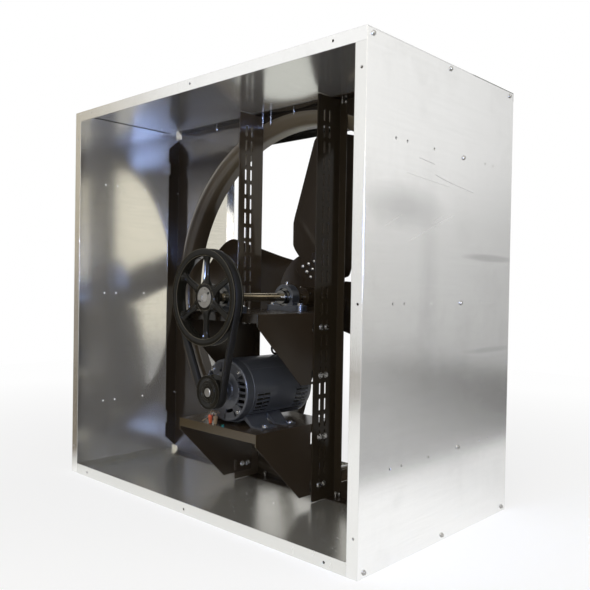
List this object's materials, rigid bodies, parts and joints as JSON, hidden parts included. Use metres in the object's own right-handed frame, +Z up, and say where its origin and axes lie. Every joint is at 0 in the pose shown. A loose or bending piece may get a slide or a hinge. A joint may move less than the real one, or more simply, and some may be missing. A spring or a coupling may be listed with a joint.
{
  "type": "belt-drive propeller exhaust fan",
  "caption": "Square sheet-metal housing with a propeller in a rolled throat, driven by a belt from a motor on a shelf, for drawing air out through a wall or hood.",
  "frame": {"origin": "middle of the housing's underside", "axes": "+X to the right as seen from the drive side, +Y along the air flow from the drive side to the discharge side, +Z up"},
  "size_m": [1.089, 0.615, 1.071],
  "materials": {
    "galvanised": "satin galvanised sheet with a faint spangle",
    "zinc": "bright zinc plate",
    "brown_paint": "glossy dark brown enamel",
    "cast_paint": "satin blue-grey paint on cast iron",
    "motor_paint": "satin dark blue-grey paint",
    "end_bell": "satin grey paint on a casting",
    "black_iron": "satin black",
    "bright_steel": "turned steel with a thin film of oil",
    "bushing": "machined grey iron",
    "belt": "matt black fabric-faced rubber",
    "windings": "varnished copper and laminations",
    "core": "cast metal",
    "leads": "wire insulation",
    "red_plastic": "moulded orange-red plastic",
    "tan_plastic": "moulded tan plastic",
    "green_paint": "green plated screw"
  },
  "bodies": {
    "housing": {"left_side_panel": "galvanised", "right_side_panel": "galvanised", "top_panel": "galvanised", "bottom_panel": "galvanised", "housing_screws": "zinc", "fan_panel": "brown_paint", "venturi_ring": "brown_paint", "panel_screws": "zinc", "left_upright": "brown_paint", "right_upright": "brown_paint", "upright_screws": "zinc", "bearing_shelf": "brown_paint", "motor_shelf": "brown_paint", "shelf_bolts": "zinc", "front_bearing_housing": "cast_paint", "rear_bearing_housing": "cast_paint", "front_bearing_insert": "bright_steel", "rear_bearing_insert": "bright_steel", "bearing_bolts": "zinc", "grease_fittings": "zinc", "motor_shell": "motor_paint", "motor_front_bell": "end_bell", "motor_rear_bell": "motor_paint", "motor_stator": "windings", "motor_base": "motor_paint", "motor_through_bolts": "zinc", "motor_foot_bolts": "zinc", "lifting_eye": "black_iron", "motor_front_bearing": "bright_steel", "motor_rear_bearing": "bright_steel", "motor_leads": "leads", "wire_nut_1": "red_plastic", "wire_nut_2": "tan_plastic", "ground_screw": "green_paint", "drive_belt": "belt"},
    "fan_rotor": {"fan_shaft": "bright_steel", "front_inner_ring": "bright_steel", "rear_inner_ring": "bright_steel", "collar_screws": "black_iron", "driven_pulley": "black_iron", "pulley_bushing": "bushing", "bushing_screws": "black_iron", "propeller_hub": "brown_paint", "blade_1": "brown_paint", "blade_2": "brown_paint", "blade_3": "brown_paint", "blade_4": "brown_paint", "blade_rivets": "zinc", "hub_screws": "zinc"},
    "motor_rotor": {"motor_shaft": "bright_steel", "motor_inner_rings": "bright_steel", "rotor_core": "core", "cooling_fan": "core", "motor_pulley_hub": "black_iron", "motor_pulley_flange": "black_iron", "pulley_set_screw": "zinc"}
  },
  "joints": [
    {"name": "fan_spin", "type": "hinge", "parent": "housing", "child": "fan_rotor", "pos_m": [0, 0, 0.5335], "axis": [0, 1, 0], "continuous": true},
    {"name": "motor_spin", "type": "hinge", "parent": "housing", "child": "motor_rotor", "pos_m": [0.027, 0, 0.298], "axis": [0, 1, 0], "continuous": true}
  ],
  "couplings": [
    {"joint": "motor_spin", "follows": "fan_spin", "ratio": 3.1622}
  ]
}
